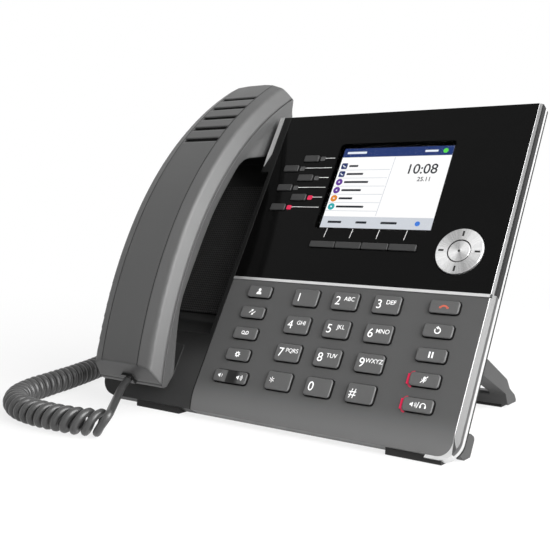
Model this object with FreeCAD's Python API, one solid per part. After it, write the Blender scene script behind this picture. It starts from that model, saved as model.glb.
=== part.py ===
import FreeCAD, Part
import math
import os

# Desk telephone, in millimetres. X runs along the phone, Y to its back and Z up.
# Most pieces are drawn in the face frame (x, v, w): x as above, v up the front face from
# its lower edge, and w straight out of the face. lean() then sets them on the desk.

Vec = FreeCAD.Vector

# Attitude of the face
TILT = 59.0
FACE_LIFT = 6.0
FACE_BACK = -60.4
FACE_SIDE = 2.5

# Front face and its shells
FACE_LEFT = -48.0
FACE_RIGHT = 111.0
FACE_TOP = 192.7
ROLL_START = 13.0
ROLL_RADIUS = 30.0
CORNER = 8.0
WALL = 2.4
PLATE = 2.5
SUBPLATE = 4.5
SEAM = -10.5
BACK = -30.0
BOARD = (-11.6, -10.0)
TRIM_TOP = 2.0
TRIM_LOW = 3.0
TRIM_FOOT = 1.5
TRIM_DEPTH = 8.3
TRIM_SLOPE = 0.6
TRIM_TAPER = (92.0, 104.0)
DIVIDER = (80.0, 81.6)
FASCIA_FOOT = 81.7
FIT = 0.1
GAP = 0.4

# Screen: a 3.5 inch panel, 4 to 3
SCREEN_LEFT = -2.0
SCREEN_FOOT = 117.0
SCREEN_WIDTH = 70.08
SCREEN_HEIGHT = 52.56
SCREEN_RIM = 2.0

# Keys
KEY_RISE = 1.6
KEY_DEPTH = 1.9
KEY_TRAVEL = 1.2
FLANGE = 1.0
FLANGE_DROP = 0.3
DIAL_SIZE = (15.8, 10.0)
DIAL_MIDDLE = 32.4
DIAL_PITCH = (25.15, 16.23)
DIAL_TOP = 71.2
SIDE_SIZE = (16.0, 6.9)
SIDE_PITCH = 12.85
LEFT_MIDDLE = -25.0
RIGHT_MIDDLE = 89.6
SIDE_TOP = 72.6
KEY_CORNER = 1.6
STRIP_SIZE = (1.0, 5.4)
STRIP_STEP = 1.3
ROCKER_SIZE = (22.6, 6.9)
ROCKER = (LEFT_MIDDLE, 20.9)
ROCKER_AXLE = -4.0
AXLE_RADIUS = 1.0
BORE_PLAY = 0.15
SADDLE_RADIUS = 26.0
SADDLE_DEPTH = 0.7
LINE_SIZE = (10.4, 4.3)
LINE_PITCH = 6.64
LINE_TOP = 161.5
LINE_MIDDLES = (-21.6, -34.1)
LINE_RISE = 1.0
LINE_CORNER = 0.8
LINE_DEPTH = 1.8
LINE_TRAVEL = 1.0
LAMP_SIZE = (3.2, 2.8)
LAMP_STEP = 7.8
SOFT_MIDDLE = (31.0, 104.7)
SOFT_SIZE = (16.9, 3.8)
SOFT_SPLIT = 0.7
SOFT_CORNER = 0.5
NAV_MIDDLE = (89.0, 104.0)
NAV_RADIUS = 12.9
NAV_HOLE = 13.5
NAV_RISE = 1.0
NAV_PIVOT = -4.5
SELECT_RADIUS = 5.9
GIMBAL = (7.4, 9.0)
GIMBAL_PIN = 0.8

DIAL_NAMES = ("1", "2", "3", "4", "5", "6", "7", "8", "9", "star", "0", "hash")
LEFT_NAMES = ("contacts", "call_list", "voicemail", "settings")
RIGHT_NAMES = ("end_call", "redial", "hold", "mute", "speaker")
LIT_RIGHT = ("mute", "speaker")

# Cradle at the left of the face
CRADLE_LEFT = -119.0
CRADLE_RIGHT = -48.2
TROUGH_FLOOR = -14.5
FLOOR_WALL = 2.2
TROUGH_LEFT = -111.0
TROUGH_RIGHT = -51.0
EAR_RIGHT = -57.0
EAR_FOOT = 152.0
RAMP = (44.0, 57.0)
SPEAKER = (-84.0, 100.0)
SPEAKER_RADIUS = 20.0
HOOK = 180.0
HOOK_RADIUS = 3.0
HOOK_TRAVEL = 4.0

# Handset
HANDSET_X = -82.5
CROWN = (95.0, 41.5)
CROWN_UPPER = 217.0
CROWN_LOWER = 269.0
STRIP_HALF = 14.0
CREASE = (21.5, 2.2)
PARTING = (24.5, 10.8)
GROOVE = (0.25, 0.3)
WAIST = (21.5, 20.0)
DEEPEST = 62.0
MOUTH_END = ((4.9, 12.0), (22.0, 54.0))
MOUTH_SLOPE = 0.45
EAR_FACE = ((166.3, -3.0), (202.5, -16.2))
EAR_SLOPE = (EAR_FACE[0][1] - EAR_FACE[1][1]) / (EAR_FACE[1][0] - EAR_FACE[0][0])
SHELL = 2.2
SLOT = (27.0, 3.4, 2.0)
SLOT_COUNT = 5
SLOT_PITCH = 10.5
SLOT_FIRST = 156.0
PLUG_X = -82.0
PLUG_SIZE = (7.6, 6.2)
PLUG_PROUD = 1.5
BASE_PLUG_PROUD = 7.0

# Back of the phone
TUB_FRONT = ((-118.0, 111.5), (1.0, 191.5))
TUB_BACK = ((-112.0, 97.0), (14.5, 185.0))
FEET = ((-91.0, -58.0), (76.0, 105.5))
FOOT_FRONT = -6.0
FOOT_REAR = -19.0
HEELS = ((-118.0, -104.0), (98.0, 110.5))
HEEL_FRONT = -17.8
HEEL_REAR = -23.5
STAND_HALF = 88.5
LEG_WIDTH = 10.0
TONGUE = (63.0, 71.0)
TONGUE_DEPTH = 10.0
PAD_THICK = 2.0
JACK_V = 46.0
JACK_DEPTH = 13.5
JACK_WALL = 2.0
NETWORK_SOCKET = (11.8, 8.6)
SMALL_SOCKET = (8.0, 6.8)
NETWORK_X = (18.0, 38.0)
SMALL_JACK_V = 32.0
HEADSET_X = -36.0
HANDSET_JACK_X = -58.0
BACK_SCREWS = ((20.0, 31.0), (45.0, 31.0), (-20.0, 183.0), (85.0, 183.0))
CRADLE_SCREWS = ((-70.0, 26.0), (-100.0, 26.0))
SCREWS = BACK_SCREWS + CRADLE_SCREWS
SCREW_HOLE = 1.5
SCREW_HEAD = 3.1
SCREW_END = -6.0
BOSS_MEET = -14.0
BOSS_RADIUS = 3.2

# Curly cord: the wire, the coil's middle line and the two straight tails, measured on the desk
# from the face's lower edge
WIRE = 4.4
COIL_RADIUS = 5.1
COIL_LEAN = 2.8
COIL_START = 0.45
PITCH_LOOSE = 6.8
PITCH_TIGHT = 5.5
PITCH_FADE = 60.0
COIL_LINE = (
    (-53.0, -54.6),
    (-64.5, -60.2),
    (-78.0, -62.2),
    (-93.5, -62.6),
    (-109.0, -61.6),
    (-125.0, -56.5),
    (-138.5, -45.5),
    (-147.5, -30.0),
    (-152.5, -11.0),
    (-157.5, 9.0),
    (-164.5, 31.0),
    (-172.5, 52.0),
    (-177.5, 66.0),
)
PLUG_LEAD = 12.0
CURL_LEAD = 8.5
BASE_LEAD = 20.0
BASE_TAIL = (
    (-140.0, 81.0, 8.5),
    (-121.0, 89.0, 4.2),
    (-100.0, 93.5, 2.3),
    (-77.0, 87.0, 2.4),
)


def vec(x, v, w):
    """Point of the face frame."""
    return Vec(x, v, w)


def lean(shape):
    """Tilt a shape from the face frame back to its rest on the desk."""
    placed = shape.copy()
    placed.rotate(Vec(0, 0, 0), Vec(1, 0, 0), TILT)
    placed.translate(Vec(FACE_SIDE, FACE_BACK, FACE_LIFT))
    return placed


def lean_point(x, v, w):
    """Desk place of a point of the face frame."""
    turn = FreeCAD.Rotation(Vec(1, 0, 0), TILT)
    return turn.multVec(Vec(x, v, w)) + Vec(FACE_SIDE, FACE_BACK, FACE_LIFT)


def lean_direction(x, v, w):
    """Desk direction of a direction of the face frame."""
    return FreeCAD.Rotation(Vec(1, 0, 0), TILT).multVec(Vec(x, v, w))


def on_desk(x, y, z):
    """Point on or above the desk, measured from the face's lower edge."""
    return Vec(x + FACE_SIDE, y + FACE_BACK, z)


def desk_v(w):
    """Where the desk crosses the face frame at level w."""
    lean_angle = math.radians(TILT)
    return -(FACE_LIFT + w * math.cos(lean_angle)) / math.sin(lean_angle)


def block(x, v, w):
    """Box between two values along each direction."""
    return Part.makeBox(x[1] - x[0], v[1] - v[0], w[1] - w[0], vec(x[0], v[0], w[0]))


def arc_between(start, corner, end):
    """Arc from start to end whose two tangents meet at the corner."""
    weight = (end - start).Length / (2 * (corner - start).Length)
    middle = (start + end + corner * (2 * weight)) * (0.5 / (1 + weight))
    return Part.Arc(start, middle, end).toShape()


def rounded_wire(corners, place):
    """Closed outline of (a, b, radius) corners; place turns a and b into a point."""
    points = [place(a, b) for a, b, radius in corners]
    count = len(points)
    starts = []
    ends = []
    for index, (a, b, radius) in enumerate(corners):
        here = points[index]
        before = (points[index - 1] - here).normalize()
        after = (points[(index + 1) % count] - here).normalize()
        reach = radius / math.tan(before.getAngle(after) / 2)
        starts.append(here + before * reach)
        ends.append(here + after * reach)
    edges = []
    for index, (a, b, radius) in enumerate(corners):
        if radius:
            edges.append(arc_between(starts[index], points[index], ends[index]))
        following = starts[(index + 1) % count]
        if (following - ends[index]).Length > 1e-6:
            edges.append(Part.makeLine(ends[index], following))
    return Part.Wire(edges)


def rectangle(x, v, radius):
    """Corners of a rectangle with one corner radius."""
    return [(x[0], v[0], radius), (x[1], v[0], radius), (x[1], v[1], radius), (x[0], v[1], radius)]


def plan_prism(corners, w):
    """Outline in x and v, raised between two levels."""
    wire = rounded_wire(corners, lambda x, v: vec(x, v, w[0]))
    return Part.Face(wire).extrude(vec(0, 0, w[1] - w[0]))


def side_prism(corners, x):
    """Outline in v and w, drawn across between two values of x."""
    wire = rounded_wire(corners, lambda v, w: vec(x[0], v, w))
    return Part.Face(wire).extrude(vec(x[1] - x[0], 0, 0))


def plate(middle, size, w, radius, grow=0.0):
    """Rounded rectangular plate about its middle, grown on every side."""
    half_x = size[0] / 2 + grow
    half_v = size[1] / 2 + grow
    x = (middle[0] - half_x, middle[0] + half_x)
    v = (middle[1] - half_v, middle[1] + half_v)
    return plan_prism(rectangle(x, v, radius + grow), w)


def post(middle, radius, w):
    """Round post along w."""
    return Part.makeCylinder(radius, w[1] - w[0], vec(middle[0], middle[1], w[0]), vec(0, 0, 1))


def pin(start, along, radius, length):
    """Round pin from a point along a direction."""
    return Part.makeCylinder(radius, length, start, along)


def soften_top(solid, radius):
    """Round the edges of a solid's highest flat face."""
    top = solid.BoundBox.ZMax
    edges = [edge for edge in solid.Edges if edge.BoundBox.ZMin > top - 1e-4]
    return solid.makeFillet(radius, edges)


# Places of the keys

def dial_places():
    """Name and middle of each dial key, row by row."""
    places = {}
    for index, name in enumerate(DIAL_NAMES):
        column = index % 3 - 1
        row = index // 3
        places["key_" + name] = (DIAL_MIDDLE + column * DIAL_PITCH[0], DIAL_TOP - row * DIAL_PITCH[1])
    return places


def side_places():
    """Name and middle of the keys in the two outer columns."""
    places = {}
    for names, middle in ((LEFT_NAMES, LEFT_MIDDLE), (RIGHT_NAMES, RIGHT_MIDDLE)):
        for row, name in enumerate(names):
            places[name + "_key"] = (middle, SIDE_TOP - row * SIDE_PITCH)
    return places


def line_places():
    """Name and middle of the staggered line keys."""
    places = {}
    for row in range(6):
        places["line_key_%d" % (row + 1)] = (LINE_MIDDLES[row % 2], LINE_TOP - row * LINE_PITCH)
    return places


def soft_places():
    """Name and middle of the four keys under the screen."""
    places = {}
    for index in range(4):
        x = SOFT_MIDDLE[0] + (index - 1.5) * SOFT_SIZE[0]
        places["soft_key_%d" % (index + 1)] = (x, SOFT_MIDDLE[1])
    return places


def lamp_places():
    """Middle of the lamp beside each line key."""
    return [(x + LAMP_STEP, v) for x, v in line_places().values()]


def strip_places():
    """Middle of the light strip at the left of each lit key."""
    places = side_places()
    step = SIDE_SIZE[0] / 2 + STRIP_STEP
    return [(places[name + "_key"][0] - step, places[name + "_key"][1]) for name in LIT_RIGHT]


# Keys

def low_key(middle, size):
    """Key of the lower panel: soft-edged cap on a wider flange under the plate."""
    foot = -PLATE - KEY_DEPTH
    cap = plate(middle, size, (foot, KEY_RISE), KEY_CORNER)
    flange = plate(middle, size, (foot, -PLATE - FLANGE_DROP), 1.0, FLANGE)
    return soften_top(cap, 0.6).fuse(flange).removeSplitter()


def line_key(middle):
    """Small key of the upper panel with its flange under the inner plate."""
    foot = -SUBPLATE - LINE_DEPTH
    cap = plate(middle, LINE_SIZE, (foot, LINE_RISE), LINE_CORNER)
    flange = plate(middle, LINE_SIZE, (foot, -SUBPLATE - FLANGE_DROP), 0.6, 0.7)
    return soften_top(cap, 0.4).fuse(flange).removeSplitter()


def soft_key(middle):
    """Key of the row under the screen; its flange reaches up and down only."""
    size = (SOFT_SIZE[0] - SOFT_SPLIT, SOFT_SIZE[1])
    foot = -SUBPLATE - LINE_DEPTH
    cap = plate(middle, size, (foot, LINE_RISE), SOFT_CORNER)
    flange = plate(middle, (size[0], size[1] + 1.6), (foot, -SUBPLATE - FLANGE_DROP), SOFT_CORNER)
    return soften_top(cap, 0.3).fuse(flange).removeSplitter()


def volume_rocker():
    """Long key on a cross axle, with a shallow saddle in its middle."""
    cap = soften_top(plate(ROCKER, ROCKER_SIZE, (-PLATE - 2.1, KEY_RISE), KEY_CORNER), 0.6)
    reach = 6.0
    saddle_level = KEY_RISE + SADDLE_RADIUS - SADDLE_DEPTH
    saddle = pin(vec(ROCKER[0], ROCKER[1] - reach, saddle_level), vec(0, 1, 0), SADDLE_RADIUS, 2 * reach)
    axle = pin(vec(ROCKER[0], ROCKER[1] - reach, ROCKER_AXLE), vec(0, 1, 0), AXLE_RADIUS, 2 * reach)
    return cap.cut(saddle).fuse(axle).removeSplitter()


def nav_ring():
    """Round four-way key with two lugs that hang on the gimbal's pins."""
    x, v = NAV_MIDDLE
    ring = soften_top(post(NAV_MIDDLE, NAV_RADIUS, (-2.0, NAV_RISE)), 0.5)
    for side in (-1, 1):
        lug_x = sorted((x + side * 9.8, x + side * 11.8))
        ring = ring.fuse(block(lug_x, (v - 2, v + 2), (-6.0, -1.8)))
    ring = ring.cut(post(NAV_MIDDLE, SELECT_RADIUS + 0.6, (-3.0, 2.0)))
    bore = pin(vec(x - 13, v, NAV_PIVOT), vec(1, 0, 0), GIMBAL_PIN + BORE_PLAY, 26)
    return ring.cut(bore)


def nav_gimbal():
    """Ring with two pins along x for the key and two along v for the housing."""
    x, v = NAV_MIDDLE
    level = (NAV_PIVOT - 1.0, NAV_PIVOT + 1.0)
    gimbal = post(NAV_MIDDLE, GIMBAL[1], level)
    reach = {"x": 11.8, "v": 15.6}
    across = pin(vec(x - reach["x"], v, NAV_PIVOT), vec(1, 0, 0), GIMBAL_PIN, 2 * reach["x"])
    upright = pin(vec(x, v - reach["v"], NAV_PIVOT), vec(0, 1, 0), GIMBAL_PIN, 2 * reach["v"])
    gimbal = gimbal.fuse([across, upright])
    return gimbal.cut(post(NAV_MIDDLE, GIMBAL[0], (level[0] - 1, level[1] + 1)))


def select_button():
    """Round button in the middle of the four-way key."""
    cap = soften_top(post(NAV_MIDDLE, SELECT_RADIUS, (-6.3, NAV_RISE)), 0.4)
    return cap.fuse(post(NAV_MIDDLE, SELECT_RADIUS + 0.9, (-6.3, -5.3))).removeSplitter()


def all_keys():
    """Every separate key of the phone by name."""
    keys = {name: low_key(middle, DIAL_SIZE) for name, middle in dial_places().items()}
    keys.update({name: low_key(middle, SIDE_SIZE) for name, middle in side_places().items()})
    keys.update({name: line_key(middle) for name, middle in line_places().items()})
    keys.update({name: soft_key(middle) for name, middle in soft_places().items()})
    keys["volume_rocker"] = volume_rocker()
    keys["nav_ring"] = nav_ring()
    keys["nav_gimbal"] = nav_gimbal()
    keys["select_button"] = select_button()
    return keys


# Front of the phone

def roll_drop(v):
    """How far the face has rolled back at height v."""
    run = max(0.0, ROLL_START - v)
    return ROLL_RADIUS - math.sqrt(ROLL_RADIUS ** 2 - run ** 2)


def face_profile(x, foot, rear):
    """Slab whose front is the flat face with its rolled lower edge."""
    def at(v, w):
        return vec(x[0], v, w)
    middle = (ROLL_START + foot) / 2
    edges = [
        Part.makeLine(at(FACE_TOP, 0), at(ROLL_START, 0)),
        Part.Arc(at(ROLL_START, 0), at(middle, -roll_drop(middle)), at(foot, -roll_drop(foot))).toShape(),
        Part.makeLine(at(foot, -roll_drop(foot)), at(foot, rear)),
        Part.makeLine(at(foot, rear), at(FACE_TOP, rear)),
        Part.makeLine(at(FACE_TOP, rear), at(FACE_TOP, 0)),
    ]
    return Part.Face(Part.Wire(edges)).extrude(vec(x[1] - x[0], 0, 0))


def face_plan(x, v, low_right, low_left=0.0):
    """Plan of a front shell with its two lower corners rounded."""
    return [(x[0], v[0], low_left), (x[1], v[0], low_right), (x[1], v[1], 0.0), (x[0], v[1], 0.0)]


def low_holes():
    """Openings of the lower panel for keys, rocker and light strips."""
    depth = (-PLATE - 1, 2)
    holes = [plate(middle, DIAL_SIZE, depth, KEY_CORNER, GAP) for middle in dial_places().values()]
    holes += [plate(middle, SIDE_SIZE, depth, KEY_CORNER, GAP) for middle in side_places().values()]
    holes += [plate(middle, STRIP_SIZE, depth, 0.4) for middle in strip_places()]
    holes.append(plate(ROCKER, ROCKER_SIZE, depth, KEY_CORNER, 0.5))
    return holes


def high_holes():
    """Openings of the upper panel for keys and lamps."""
    depth = (-SUBPLATE - 1, 2)
    holes = [plate(middle, LINE_SIZE, depth, LINE_CORNER, GAP) for middle in line_places().values()]
    holes += [plate(middle, LAMP_SIZE, depth, 0.6) for middle in lamp_places()]
    soft_row = (4 * SOFT_SIZE[0] - SOFT_SPLIT, SOFT_SIZE[1])
    holes.append(plate(SOFT_MIDDLE, soft_row, depth, SOFT_CORNER, GAP))
    holes.append(post(NAV_MIDDLE, NAV_HOLE, depth))
    return holes


def screen_plate(grow, w):
    """Plate over the screen's picture area, grown on every side."""
    middle = (SCREEN_LEFT + SCREEN_WIDTH / 2, SCREEN_FOOT + SCREEN_HEIGHT / 2)
    return plate(middle, (SCREEN_WIDTH, SCREEN_HEIGHT), w, 0.5, grow)


def front_housing():
    """Front shell: keypad panel with its rolled edge, and the tray behind the upper panel."""
    x = (FACE_LEFT, FACE_RIGHT)
    shell = face_profile(x, 0.0, SEAM)
    shell = shell.common(plan_prism(face_plan(x, (0.0, FACE_TOP), CORNER), (SEAM - 1, 2)))
    inner = (FACE_LEFT + 2, FACE_RIGHT - 2)
    shell = shell.cut(block(inner, (CORNER, DIVIDER[0] - 1), (SEAM - 1, -PLATE)))
    shell = shell.cut(block(inner, (DIVIDER[0] + 1, FACE_TOP - 2), (SEAM - 1, -SUBPLATE)))
    shell = shell.cut(block(inner, (CORNER, FACE_TOP - 2), (SEAM - 1, BOARD[1] + 1.5)))
    wide = (FACE_LEFT - 1, FACE_RIGHT + 1)
    shell = shell.cut(block(wide, (FASCIA_FOOT - FIT, FACE_TOP + 1), (-PLATE, 2)))
    shell = shell.cut(block(wide, DIVIDER, (-1.2, 2)))
    nav_x, nav_v = NAV_MIDDLE
    bearings = []
    for side in (-1, 1):
        nav_side = sorted((nav_v + side * 13.9, nav_v + side * 16.4))
        bearings.append(block((nav_x - 2, nav_x + 2), nav_side, (-7.0, -SUBPLATE + 0.2)))
        rocker_side = sorted((ROCKER[1] + side * 4.1, ROCKER[1] + side * 6.2))
        bearings.append(block((ROCKER[0] - 2, ROCKER[0] + 2), rocker_side, (-6.0, -PLATE + 0.2)))
    bosses = [post(place, BOSS_RADIUS, (BOSS_MEET, -PLATE)) for place in BACK_SCREWS]
    shell = shell.fuse(bearings + bosses)
    holes = low_holes() + high_holes()
    holes.append(screen_plate(SCREEN_RIM + 1.4, (-SUBPLATE - 1, 2)))
    holes.append(pin(vec(nav_x, nav_v - 18, NAV_PIVOT), vec(0, 1, 0), GIMBAL_PIN + BORE_PLAY, 36))
    axle_start = vec(ROCKER[0], ROCKER[1] - 8, ROCKER_AXLE)
    holes.append(pin(axle_start, vec(0, 1, 0), AXLE_RADIUS + BORE_PLAY, 16))
    holes += [post(place, SCREW_HOLE, (-15, SCREW_END + 0.5)) for place in BACK_SCREWS]
    return shell.cut(holes).removeSplitter()


def display_fascia():
    """Glossy panel of the upper face, with its openings."""
    x = (FACE_LEFT + FIT, FACE_RIGHT)
    panel = block(x, (FASCIA_FOOT, FACE_TOP), (-PLATE, 0))
    return panel.cut(high_holes() + [screen_plate(SCREEN_RIM, (-PLATE - 1, 1))])


def display_window():
    """Clear window set a little below the face."""
    return screen_plate(SCREEN_RIM, (-1.5, -0.5))


def lcd_module():
    """Screen panel behind the window."""
    return screen_plate(SCREEN_RIM + 1.0, (-7.0, -PLATE))


def silver_trim():
    """Right-hand band joined to the divider, and the short strip beside the ear rest."""
    low_edge = FACE_RIGHT + TRIM_LOW
    top_edge = FACE_RIGHT + TRIM_TOP
    foot = -TRIM_FOOT
    plan = [(FACE_LEFT, foot, 0), (low_edge, foot, CORNER + 2)]
    plan += [(top_edge, FACE_TOP, 0), (FACE_LEFT, FACE_TOP, 0)]
    inner_x = (FACE_LEFT - 1, FACE_RIGHT + FIT)
    inner = plan_prism(face_plan(inner_x, (-FIT, FACE_TOP + 1), CORNER + FIT), (-TRIM_DEPTH - 1, 2))
    band = face_profile((FACE_LEFT, low_edge), foot, -TRIM_DEPTH)
    band = band.common(plan_prism(plan, (-TRIM_DEPTH, 1))).cut(inner)
    taper = [(FACE_LEFT - 1, 9.0, 0), (FACE_LEFT - 1, -9.0, 0)]
    taper += [(TRIM_TAPER[0], -9.0, 0), (TRIM_TAPER[1], 9.0, 0)]
    band = band.cut(plan_prism(taper, (-TRIM_DEPTH - 1, 2)))
    reach = TRIM_LOW + 1
    bevel = [vec(FACE_RIGHT, -9, 0), vec(FACE_RIGHT + reach, -9, -reach * TRIM_SLOPE)]
    bevel += [vec(FACE_RIGHT + reach, -9, 2), vec(FACE_RIGHT, -9, 2)]
    bevel = Part.Face(Part.makePolygon(bevel + bevel[:1])).extrude(vec(0, FACE_TOP + 18, 0))
    divider = block((FACE_LEFT + FIT, FACE_RIGHT + 1), DIVIDER, (-1.2, 0.4))
    band = band.cut(bevel).fuse(divider).removeSplitter()
    return Part.makeCompound([band, ear_strip(0.0)])


def ear_strip(grow):
    """Short silver strip on the edge beside the ear rest, pointed at its lower end."""
    right = EAR_RIGHT + 3.4
    corners = [
        (EAR_RIGHT + 0.4 - grow, FACE_TOP + grow, 0),
        (EAR_RIGHT + 0.4 - grow, 166.0, 0),
        (EAR_RIGHT + 0.8, 157.0 - grow, 0),
        (right + grow, 166.0, 0),
        (right + grow, FACE_TOP + grow, 0),
    ]
    return plan_prism(corners, (-1.2, 0.3 + grow * 9))


def lamp_lenses():
    """Lamp lenses of the line keys and light strips of the two lit keys."""
    lamps = [plate(middle, LAMP_SIZE, (-SUBPLATE, 0.2), 0.6) for middle in lamp_places()]
    lamps += [plate(middle, STRIP_SIZE, (-PLATE, 0.3), 0.4) for middle in strip_places()]
    return Part.makeCompound(lamps)


# Inside the phone

def key_mat():
    """Rubber sheet with one dome under each key."""
    level = (BOARD[1], BOARD[1] + 1.2)
    sheet = block((-42, 103), (12, 111), level).fuse(block((-42, -9), (110, 168), level))
    low = list(dial_places().values()) + list(side_places().values())
    low += [(ROCKER[0] - 8, ROCKER[1]), (ROCKER[0] + 8, ROCKER[1])]
    high = list(line_places().values()) + list(soft_places().values()) + [NAV_MIDDLE]
    low_top = -PLATE - KEY_DEPTH - KEY_TRAVEL - 0.5
    high_top = -SUBPLATE - LINE_DEPTH - LINE_TRAVEL - 0.4
    domes = [post(middle, 2.4, (level[0], low_top)) for middle in low]
    domes += [post(middle, 1.6, (level[0], high_top)) for middle in high]
    holes = [post(place, BOSS_RADIUS + 0.8, (BOSS_MEET, -6)) for place in SCREWS]
    return sheet.fuse(domes).cut(holes).removeSplitter()


def main_board():
    """Circuit board behind the keys and the screen."""
    board = block((-44, 103), (10, 178), BOARD)
    return board.cut([post(place, BOSS_RADIUS, (BOSS_MEET, -9)) for place in SCREWS])


def loudspeaker():
    """Hands-free loudspeaker: frame, magnet and dished cone."""
    top = TROUGH_FLOOR - FLOOR_WALL
    frame = post(SPEAKER, SPEAKER_RADIUS, (top - 3.8, top))
    magnet = post(SPEAKER, SPEAKER_RADIUS * 0.55, (top - 9.8, top - 3.8))
    foot = vec(SPEAKER[0], SPEAKER[1], top - 2.8)
    dish = Part.makeCone(5.0, SPEAKER_RADIUS - 2, 2.8, foot, vec(0, 0, 1))
    return frame.fuse(magnet).cut(dish)


# Cradle

def trough():
    """Space of the cradle: ramp, floor and the narrower ear rest open at the top."""
    low = [(RAMP[0], 2, 0), (RAMP[0], 0, 3.0), (RAMP[1], TROUGH_FLOOR, 6.0)]
    low += [(EAR_FOOT + 1, TROUGH_FLOOR, 0), (EAR_FOOT + 1, 2, 0)]
    wide = side_prism(low, (TROUGH_LEFT, TROUGH_RIGHT))
    ear = block((TROUGH_LEFT, EAR_RIGHT), (EAR_FOOT, FACE_TOP + 1), (TROUGH_FLOOR, 2))
    return wide.fuse(ear)


def ear_face_w(v):
    """Level of the handset's ear face at height v."""
    return EAR_FACE[0][1] - (v - EAR_FACE[0][0]) * EAR_SLOPE


def cradle_housing():
    """Left-hand shell that holds the handset, with its mouth seat and ear rest."""
    x = (CRADLE_LEFT, CRADLE_RIGHT)
    shell = face_profile(x, 0.0, SEAM)
    shell = shell.common(plan_prism(face_plan(x, (0.0, FACE_TOP), 0.0, 9.0), (SEAM - 1, 2)))
    tub = block((TROUGH_LEFT - 2, EAR_RIGHT + 2), (RAMP[0] - 2, FACE_TOP), (TROUGH_FLOOR - FLOOR_WALL, SEAM))
    shell = shell.fuse(tub).cut(trough())
    inner = (CRADLE_LEFT + WALL, CRADLE_RIGHT - WALL)
    shell = shell.cut(block(inner, (CORNER, RAMP[0] - 4), (SEAM - 1, -PLATE)))
    start = 167.5
    rest = [(start, TROUGH_FLOOR - 1, 0), (start, ear_face_w(start) - 0.6, 0)]
    rest += [(FACE_TOP, ear_face_w(FACE_TOP) - 0.6, 0), (FACE_TOP, TROUGH_FLOOR - 1, 0)]
    seat = [(17.0, -1.0, 0), (17.0, 5.2, 0), (33.0, 10.6, 1.0), (36.0, -1.0, 0)]
    shell = shell.fuse([
        side_prism(rest, (HANDSET_X - 19, HANDSET_X + 19)),
        side_prism(seat, (HANDSET_X - 16, HANDSET_X + 16)),
    ])
    bosses = [post(place, BOSS_RADIUS, (BOSS_MEET, -PLATE)) for place in CRADLE_SCREWS]
    shell = shell.fuse(bosses)
    holes = [
        post((HANDSET_X, HOOK), HOOK_RADIUS + GAP, (-30, 2)),
        post(SPEAKER, SPEAKER_RADIUS - 3, (-20, TROUGH_FLOOR + 1)),
        ear_strip(FIT),
    ]
    holes += [post(place, SCREW_HOLE, (-15, SCREW_END + 0.5)) for place in CRADLE_SCREWS]
    return shell.cut(holes).removeSplitter()


def speaker_grille():
    """Mesh sheet on the cradle's floor, over the loudspeaker."""
    x = (TROUGH_LEFT + 0.5, TROUGH_RIGHT - 0.5)
    return plan_prism(rectangle(x, (RAMP[1] + 5, EAR_FOOT - 1), 3.0), (TROUGH_FLOOR, TROUGH_FLOOR + 1.2))


def hook_switch():
    """Plunger that the handset holds down, with its stop flange under the floor."""
    top = ear_face_w(HOOK + HOOK_RADIUS) - 0.4
    stem = soften_top(post((HANDSET_X, HOOK), HOOK_RADIUS, (-24.0, top)), 0.8)
    flange_top = TROUGH_FLOOR - FLOOR_WALL - HOOK_TRAVEL - 0.5
    return stem.fuse(post((HANDSET_X, HOOK), HOOK_RADIUS + 1.2, (flange_top - 1.8, flange_top)))


# Back of the phone

def rear_tub(inset, rear):
    """Tapered tub from the seam to its flat back, inset all round."""
    wires = []
    for (x, v), level in ((TUB_BACK, rear), (TUB_FRONT, SEAM)):
        corners = rectangle((x[0] + inset, x[1] - inset), (v[0] + inset, v[1] - inset), CORNER)
        wires.append(rounded_wire(corners, lambda a, b: vec(a, b, level)))
    return Part.makeLoft(wires, True, True)


def jack_places():
    """Middle and socket size of each modular jack on the back."""
    network = [((x, JACK_V), NETWORK_SOCKET) for x in NETWORK_X]
    small = [((x, SMALL_JACK_V), SMALL_SOCKET) for x in (HEADSET_X, HANDSET_JACK_X)]
    return network + small


def tongue(side, grow):
    """Tongue of the stand on one side, pushed into its slot in the back."""
    middle = side * (STAND_HALF - LEG_WIDTH / 2) - FACE_SIDE
    x = (middle - 3.5 - grow, middle + 3.5 + grow)
    return block(x, (TONGUE[0] - grow, TONGUE[1] + grow), (BACK - 1.5, BACK + TONGUE_DEPTH + grow))


def rear_housing():
    """Rear shell with its jack windows, stand slots and screw bosses."""
    shell = rear_tub(0.0, BACK).cut(rear_tub(WALL, BACK + WALL))
    bosses = [post(place, BOSS_RADIUS + 0.4, (BACK + 1, BOSS_MEET)) for place in SCREWS]
    heels = [heel.cut(rear_tub(0.0, BACK)) for heel in heel_blocks()]
    shell = shell.fuse(bosses + heels)
    cuts = [block((TROUGH_LEFT - 2.4, EAR_RIGHT + 2.4), (178, 195), (TROUGH_FLOOR - 2.6, SEAM + 1))]
    window = (BACK - 1, BACK + WALL + 1)
    cuts += [plate(middle, socket, window, 0.5, JACK_WALL) for middle, socket in jack_places()]
    cuts += [tongue(side, 0.35) for side in (-1, 1)]
    cuts += [post(place, SCREW_HOLE + 0.1, (BACK - 1, -10)) for place in SCREWS]
    cuts += [post(place, SCREW_HEAD + 0.3, (BACK - 1, BACK + 1.2)) for place in SCREWS]
    return shell.cut(cuts).removeSplitter()


def housing_screws():
    """Screws that hold the front shells, heads sunk in the back."""
    screws = []
    for place in SCREWS:
        head = post(place, SCREW_HEAD, (BACK + 0.2, BACK + 1.2))
        shank = post(place, SCREW_HOLE - 0.1, (BACK + 1.1, SCREW_END))
        recess = plate(place, (2.8, 0.8), (BACK - 1, BACK + 0.8), 0.2)
        screws.append(head.fuse(shank).cut(recess))
    return Part.makeCompound(screws)


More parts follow.
